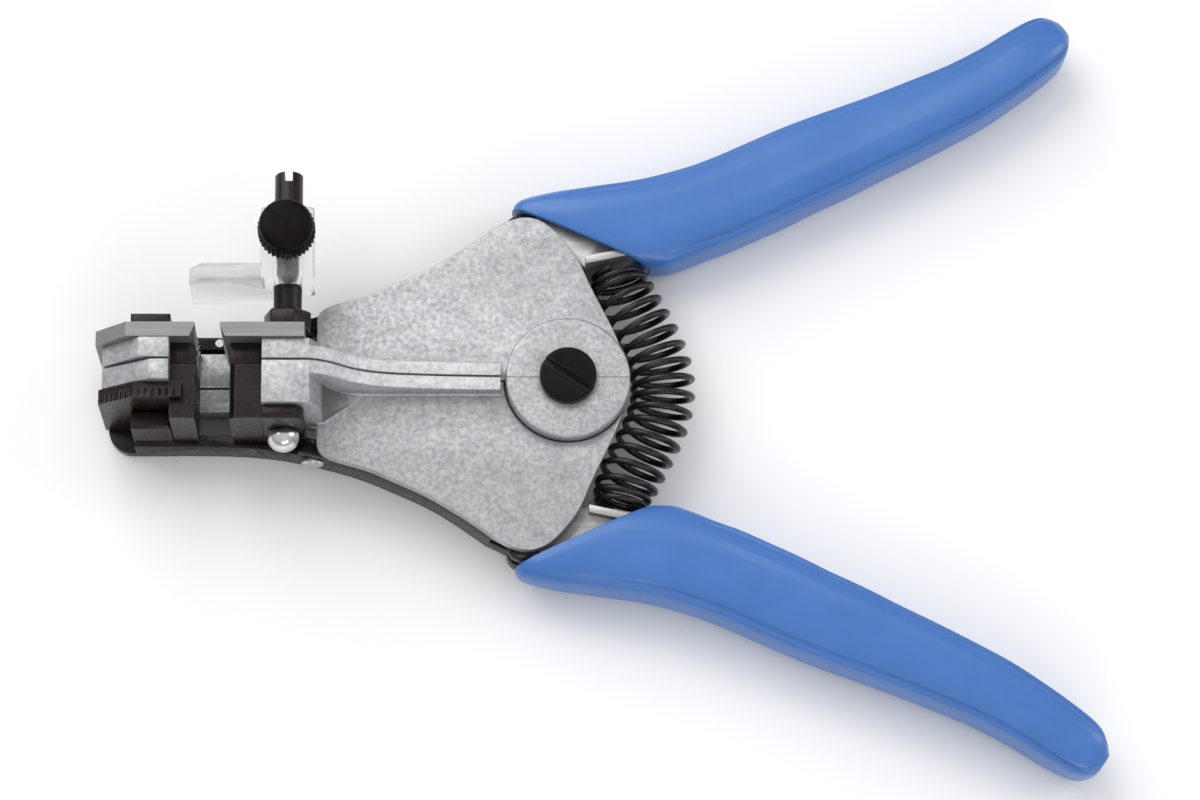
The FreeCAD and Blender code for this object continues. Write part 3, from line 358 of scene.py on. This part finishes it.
def refined(node, width, segs=2, angle=30.0, mat=None, name=None):
    """a copy of a CAD node's mesh with its edges really rounded; it stands for the node"""
    src = N[node]
    me = src.data.copy()
    me.name = node + "_finish"
    ob = link(bpy.data.objects.new(name or node + "_finish", me))
    bm = bmesh.new()
    bm.from_mesh(me)
    bmesh.ops.remove_doubles(bm, verts=bm.verts, dist=3e-6)
    bmesh.ops.dissolve_limit(bm, angle_limit=math.radians(1.0), verts=bm.verts, edges=bm.edges)
    for f in bm.faces:
        f.smooth = True
    bm.to_mesh(me)
    bm.free()
    mod = ob.modifiers.new("edge", "BEVEL")
    mod.width = width * MM
    mod.segments = segs
    mod.limit_method = "ANGLE"
    mod.angle_limit = math.radians(angle)
    mod.use_clamp_overlap = True
    mod.miter_outer = "MITER_ARC"
    mod.harden_normals = False
    dg = bpy.context.evaluated_depsgraph_get()
    done = bpy.data.meshes.new_from_object(ob.evaluated_get(dg))
    ob.modifiers.clear()
    ob.data = done
    done.name = node + "_finish"
    done.materials.clear()
    done.materials.append(mat or MAT[SLOT[node]])
    soften(ob, 34.0)
    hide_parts(node)
    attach(ob, BODY[node])
    return ob




def catmull(pts, per):
    """points of a smooth curve through pts, tuples of any length"""
    out = []
    n = len(pts)
    for i in range(n - 1):
        p0 = pts[max(i - 1, 0)]
        p1, p2 = pts[i], pts[i + 1]
        p3 = pts[min(i + 2, n - 1)]
        for k in range(per):
            t = k / per
            out.append(tuple(0.5 * (2 * b + (c - a) * t + (2 * a - 5 * b + 4 * c - d) * t * t + (3 * b - a - 3 * c + d) * t ** 3) for a, b, c, d in zip(p0, p1, p2, p3)))
    out.append(tuple(pts[-1]))
    return out


def lathe(name, profile, centre, axis, segs, mat, knurl=None, smooth=34.0):
    """profile of (radius, height) turned about axis through centre, millimetres; knurl = (teeth, depth, from, to)"""
    z = Vector(axis).normalized()
    x = Vector((1, 0, 0)) if abs(z.x) < 0.9 else Vector((0, 1, 0))
    x = (x - z * x.dot(z)).normalized()
    y = z.cross(x)
    c = Vector(centre)
    verts, faces = [], []
    for r, h in profile:
        for k in range(segs):
            a = 2 * math.pi * k / segs
            rr = r
            if knurl and knurl[2] <= h <= knurl[3]:
                rr = r - knurl[1] * (0.5 - 0.5 * math.cos(a * knurl[0]))
            verts.append((c + (x * math.cos(a) + y * math.sin(a)) * rr + z * h) * MM)
    for i in range(len(profile) - 1):
        for k in range(segs):
            k2 = (k + 1) % segs
            faces.append((i * segs + k, i * segs + k2, (i + 1) * segs + k2, (i + 1) * segs + k))
    faces.append(tuple(range(segs))[::-1])
    faces.append(tuple((len(profile) - 1) * segs + k for k in range(segs)))
    return mesh_object(name, verts, faces, mat, smooth)


def tube(name, pts, radius, mat, sides=12, taper=None):
    """round wire along points, in millimetres, with closed ends"""
    p = [Vector(q) for q in pts]
    n = len(p)
    tan = [(p[min(i + 1, n - 1)] - p[max(i - 1, 0)]).normalized() for i in range(n)]
    up = tan[0].orthogonal().normalized()
    verts, faces = [], []
    for i in range(n):
        if i:
            up = (up - tan[i] * up.dot(tan[i])).normalized()
        side = tan[i].cross(up)
        r = radius * (taper(i / (n - 1)) if taper else 1.0)
        for k in range(sides):
            a = 2 * math.pi * k / sides
            verts.append((p[i] + (up * math.cos(a) + side * math.sin(a)) * r) * MM)
    for i in range(n - 1):
        for k in range(sides):
            k2 = (k + 1) % sides
            faces.append((i * sides + k, i * sides + k2, (i + 1) * sides + k2, (i + 1) * sides + k))
    faces.append(tuple(range(sides))[::-1])
    faces.append(tuple((n - 1) * sides + k for k in range(sides)))
    return mesh_object(name, verts, faces, mat, 50.0)


# ============================================================================ materials on the CAD nodes
for node, ob in N.items():
    ob.data.materials.clear()
    ob.data.materials.append(MAT[SLOT[node]])
for node in ("pivot_screw", "pivot_barrel", "upper_foot_screw", "lower_foot_screw"):
    N[node].data.materials[0] = MAT_SCREW

# ============================================================================ castings and steel parts with really rounded edges
refined("upper_body", 0.45, 3, mat=MAT_SEAM_AND_PAINTED_LIGHT)
refined("lower_body", 0.45, 3, mat=MAT_SEAM_AND_PAINTED_LIGHT)
for node, w, s in ( ("upper_nose_jaw", 0.35, 3), ("lower_nose_jaw", 0.35, 3),
                   ("upper_pull_bar", 0.3, 2), ("lower_pull_bar", 0.3, 2), ("upper_handle", 0.3, 2), ("lower_handle", 0.3, 2),
                   ("upper_left_insert", 0.25, 2), ("upper_right_insert", 0.25, 2), ("gripper_clamp_block", 0.35, 3), ("wire_stop", 0.35, 3),
                   ("post_nut", 0.2, 2), ("stop_post", 0.18, 2), ("gripper_clamp_screw", 0.12, 2)):
    refined(node, w, s)
refined("pivot_screw", 0.18, 2, mat=MAT_SCREW)


# ============================================================================ blue dipped grips
STATIONS = [(-9.6, 33.3, 15.3, 22.2, 5.3), (-8.3, 35.2, 16.1, 22.15, 5.8), (-3.2, 36.6, 18.9, 22.3, 6.1), (4.5, 37.7, 22.2, 23.5, 6.25),
            (13.0, 38.9, 26.0, 25.2, 6.25), (21.0, 41.0, 30.4, 26.9, 6.25), (27.3, 43.4, 35.0, 29.0, 6.25), (33.4, 46.2, 40.6, 31.6, 6.25),
            (39.4, 48.9, 46.2, 34.5, 6.25), (45.4, 51.3, 52.2, 37.4, 6.25), (51.4, 53.5, 58.5, 40.76, 6.25), (57.75, 55.94, 64.94, 44.0, 6.25),
            (64.19, 58.57, 71.37, 47.43, 6.25), (70.62, 61.3, 77.8, 51.06, 6.2), (77.05, 64.74, 83.81, 55.18, 6.1), (82.2, 68.02, 88.95, 59.07, 5.9),
            (86.38, 70.47, 92.6, 62.3, 5.4), (89.38, 71.38, 94.0, 65.0, 4.6), (91.74, 70.97, 94.5, 67.4, 3.2)]


def grip_ring(st, m, n=96, shrink=1.0, crease=0.0, push=(0.0, 0.0), box=0.0):
    ox, oy, ix, iy, half = st
    cx, cy, ax, ay = (ox + ix) / 2, (oy + iy) / 2, (ox - ix) / 2, (oy - iy) / 2
    ln = math.hypot(ax, ay)
    ec, eq = 0.72 - 0.14 * box, 0.62 - 0.14 * box
    ring = []
    for k in range(n):
        a = 2 * math.pi * (k + 0.5) / n
        deg = math.degrees(a)
        c, q = math.cos(a), math.sin(a)
        c = math.copysign(abs(c) ** ec, c)
        q = math.copysign(abs(q) ** eq, q)
        inset = 0.0
        for mid, way in ((42.0, 1), (138.0, -1)):
            d = (deg - mid) / 6.0
            inset += 1.25 * crease * math.exp(-d * d)
            d = (deg - (mid - way * 14.0)) / 7.0
            inset -= 0.30 * crease * math.exp(-d * d)
            d = (deg - (mid + way * 16.0)) / 12.0
            inset += 0.30 * crease * math.exp(-d * d)
        fa = 1.0 - (1.0 - shrink) - 0.7 * inset / ln
        fz = 1.0 - (1.0 - shrink) * ln / half * 0.55 - inset / half
        x = cx + ax * c * fa + push[0]
        y = cy + ay * c * fa + push[1]
        z = 6.45 + half * q * fz
        wob = 0.05 * noise.noise(Vector((x * 0.11, y * 0.11, z * 0.2 + 7.0 * m)))
        ring.append(((x + wob * ax / ln) * MM, m * (y + wob * ay / ln) * MM, z * MM))
    return ring


def grip(name, node, m):
    body = catmull(STATIONS, 6)
    rings = []
    # inside wall of the mouth, from deep inside outwards, then the rolled lip
    dx, dy = 0.42, 0.90   # into the sleeve, roughly square to the mouth
    s0 = STATIONS[0]
    rings.append(grip_ring(s0, m, shrink=0.55, push=(dx * 5.0, dy * 0.0 + 2.0)))
    for sh, depth in ((0.80, 3.4), (0.865, 1.6), (0.885, 0.55), (0.905, 0.12), (0.935, -0.02), (0.965, 0.10), (0.988, 0.42)):
        rings.append(grip_ring(s0, m, shrink=sh, push=(dx * depth, dy * depth * 0.5)))
    total = len(body)
    for i, st in enumerate(body):
        if i == 0:
            continue
        u = i / (total - 1)
        cr = 0.40 * max(0.0, min(1.0, (u - 0.09) / 0.16)) * max(0.0, min(1.0, (0.975 - u) / 0.07))
        rings.append(grip_ring(st, m, crease=cr, box=max(0.0, min(1.0, (u - 0.08) / 0.12)) * max(0.0, min(1.0, (1.0 - u) / 0.08))))
    last = STATIONS[-1]
    tip = ((last[0] + last[2]) / 2, (last[1] + last[3]) / 2)
    for f, fwd in ((0.80, 0.28), (0.55, 0.45), (0.28, 0.52)):
        st = tuple(tip[j % 2] + (last[j] - tip[j % 2]) * f for j in range(4)) + (last[4] * f,)
        rings.append(grip_ring(st, m, push=(0.25 * fwd, 0.35 * fwd)))
    n = len(rings[0])
    verts = [p for r in rings for p in r]
    faces = []
    for i in range(len(rings) - 1):
        for k in range(n):
            k2 = (k + 1) % n
            faces.append((i * n + k, i * n + k2, (i + 1) * n + k2, (i + 1) * n + k))
    faces.append(tuple(range(n))[::-1])
    faces.append(tuple((len(rings) - 1) * n + k for k in range(n)))
    ob = mesh_object(name, verts, faces, MAT["grip_vinyl"], 60.0)
    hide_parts(node)
    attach(ob, BODY[node])
    return ob


grip("grip_upper", "upper_grip", 1)
grip("grip_lower", "lower_grip", -1)


# ============================================================================ return spring: one coil, cut in three
def coil_points():
    pts = []
    x_end, bow, y_end, zc, turns, coil = 8.5, 8.9, 21.0, 6.8, 17, 5.3
    per = 30
    n = turns * per
    w = math.pi / 2 / (1.25 * y_end)
    dead, tight = 1.4, 1.36
    pitch = 2 * (y_end - dead * tight) / (turns - 2 * dead)
    for i in range(n + 1):
        t = i / per
        e = min(t, turns - t)
        d = e * tight if e < dead else dead * tight + (e - dead) * pitch
        y = -y_end + d if t < turns / 2 else y_end - d
        x = x_end + bow * math.cos(w * y) ** 2
        slope = -2 * bow * w * math.cos(w * y) * math.sin(w * y)
        side = Vector((1.0, -0.8 * slope, 0)).normalized()
        rr = coil - 0.9 * max(0.0, 1.0 - e / 2.2)
        ph = 2 * math.pi * t
        pts.append(Vector((x, y, zc)) + side * (rr * math.cos(ph)) + Vector((0, 0, -rr * math.sin(ph))))
    # a further half turn at each end runs on to the spring seat of the handle
    head, tail = [], []
    for s, first, out in ((-1, pts[0], head), (1, pts[-1], tail)):
        base = Vector((x_end + bow * math.cos(w * y_end) ** 2, s * y_end, zc))
        slope = -2 * bow * w * math.cos(w * s * y_end) * math.sin(w * s * y_end)
        side = Vector((1.0, -0.8 * slope, 0)).normalized()
        for i in range(1, 22):
            q = i / 21
            ph = s * 2 * math.pi * 0.7 * q
            out.append(base + Vector((0, s * 1.0 * q, 0)) + side * ((coil - 0.9 - 0.25 * q) * math.cos(ph)) + Vector((0, 0, -(coil - 0.9 - 0.25 * q) * math.sin(ph))))
    return head[::-1] + pts + tail


COIL = coil_points()
cut_y = 10.45
i1 = next(i for i, p in enumerate(COIL) if p.y > -cut_y)
i2 = next(i for i, p in enumerate(COIL) if p.y > cut_y)
low = tube("return_coil_lower", COIL[:i1 + 1], 0.6, MAT["spring_steel"], 14)
mid = tube("return_coil_middle", COIL[i1:i2 + 1], 0.6, MAT["spring_steel"], 14)
top = tube("return_coil_upper", COIL[i2:], 0.6, MAT["spring_steel"], 14)
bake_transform(top)
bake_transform(mid)
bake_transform(low)
for ob in (low, mid, top):
    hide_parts("return_spring")

# closing spring between the halves
pts = []
for i in range(13 * 22 + 1):
    ph = 2 * math.pi * i / 22
    pts.append(Vector((-23.8 + 1.7 * math.cos(ph), -7.6 + 15.2 * i / (13 * 22), 5.4 + 1.7 * math.sin(ph))))
close = tube("closing_coil", pts, 0.3, MAT["spring_steel"], 8)
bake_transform(close)
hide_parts("closing_spring")

# ============================================================================ thumb screw: knurled knob under a smooth cap
PX, PY = -49.6, 22.6
knob = lathe("thumb_knob", [(1.5, 21.7), (1.5, 25.6), (3.9, 25.75), (4.5, 25.8), (4.95, 26.25), (5.05, 26.5), (5.05, 27.6), (5.05, 28.7), (5.05, 29.6), (4.95, 29.85), (4.5, 30.15), (3.0, 30.2)],
             (PX, PY, 0), (0, 0, 1), 288, MAT["knob_black"], knurl=(36, 0.42, 26.2, 29.9))
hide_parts("thumb_screw")
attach(knob, BODY["thumb_screw"])
cap = lathe("thumb_cap", [(3.0, 30.2), (4.55, 30.22), (4.72, 30.35), (4.75, 30.6), (4.72, 31.05), (4.58, 31.5), (4.25, 31.9), (3.7, 32.15), (2.8, 32.3), (1.6, 32.37), (0.4, 32.4)],
            (PX, PY, 0), (0, 0, 1), 96, MAT["knob_black"])
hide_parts("thumb_screw_cap")
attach(cap, BODY["thumb_screw_cap"])

# ============================================================================ floor, lights, camera
floor_z = -0.0003
me = bpy.data.meshes.new("floor")
bm = bmesh.new()
bmesh.ops.create_grid(bm, x_segments=24, y_segments=24, size=2.2)
for v in bm.verts:
    v.co.z = floor_z
bm.to_mesh(me)
bm.free()
floor = link(bpy.data.objects.new("floor", me))
me.materials.append(pale_floor())

world = bpy.data.worlds.new("studio")
scene.world = world
world.use_nodes = True
wt = world.node_tree
bg = wt.nodes["Background"]
# bright overhead, darker towards the horizon
wc = wt.nodes.new("ShaderNodeTexCoord")
sep = wt.nodes.new("ShaderNodeSeparateXYZ")
wt.links.new(wc.outputs["Generated"], sep.inputs[0])
wr = wt.nodes.new("ShaderNodeValToRGB")
wt.links.new(sep.outputs["Z"], wr.inputs[0])
wr.color_ramp.elements[0].position = 0.0
wr.color_ramp.elements[0].color = (0.42, 0.43, 0.45, 1)
wr.color_ramp.elements[1].position = 0.85
wr.color_ramp.elements[1].color = (1.0, 1.0, 1.0, 1)
wt.links.new(wr.outputs[0], bg.inputs["Color"])
bg.inputs["Strength"].default_value = 0.74


def area(name, pos, target, size, watts, colour=(1, 1, 1)):
    d = bpy.data.lights.new(name, "AREA")
    d.shape = "RECTANGLE"
    d.size, d.size_y = size
    d.energy = watts
    d.color = colour
    o = link(bpy.data.objects.new(name, d))
    o.location = pos
    o.rotation_euler = (Vector(target) - Vector(pos)).to_track_quat("-Z", "Y").to_euler()
    return o


area("key", (-0.38, 0.50, 0.60), (0, 0, 0), (0.75, 0.75), 4.8, (1.0, 0.995, 0.985))
area("fill", (0.15, -0.75, 0.42), (0, 0, 0), (0.60, 0.30), 1.5, (0.975, 0.985, 1.0))
area("glint", (0.22, 0.42, 0.85), (0.02, 0, 0), (0.06, 0.30), 0.30)
area("side", (0.75, 0.15, 0.40), (0, 0, 0), (0.25, 0.55), 1.3)

D = 0.620
bx = -0.05
k = math.sqrt(1 - bx * bx)
tilt = math.radians(16.5)
u = Vector((0.0, math.cos(tilt), math.sin(tilt)))
b = Vector((bx, -math.sin(tilt) * k, math.cos(tilt) * k))
r = u.cross(b).normalized()
hub = Vector((0.0, 0.0, 0.014))
aim = hub + r * 0.0057 - u * 0.0041
cam_data = bpy.data.cameras.new("camera")
cam_data.sensor_width = 36.0
cam_data.lens = 5.624 * 620 * 36 / 1200
cam_data.clip_start = 0.01
cam = link(bpy.data.objects.new("camera", cam_data))
pos = aim + b * D
cam.matrix_world = Matrix(((r.x, u.x, b.x, pos.x), (r.y, u.y, b.y, pos.y), (r.z, u.z, b.z, pos.z), (0, 0, 0, 1)))
scene.camera = cam
scene.view_settings.view_transform = "Standard"
scene.view_settings.look = "None"
scene.view_settings.exposure = 0.0
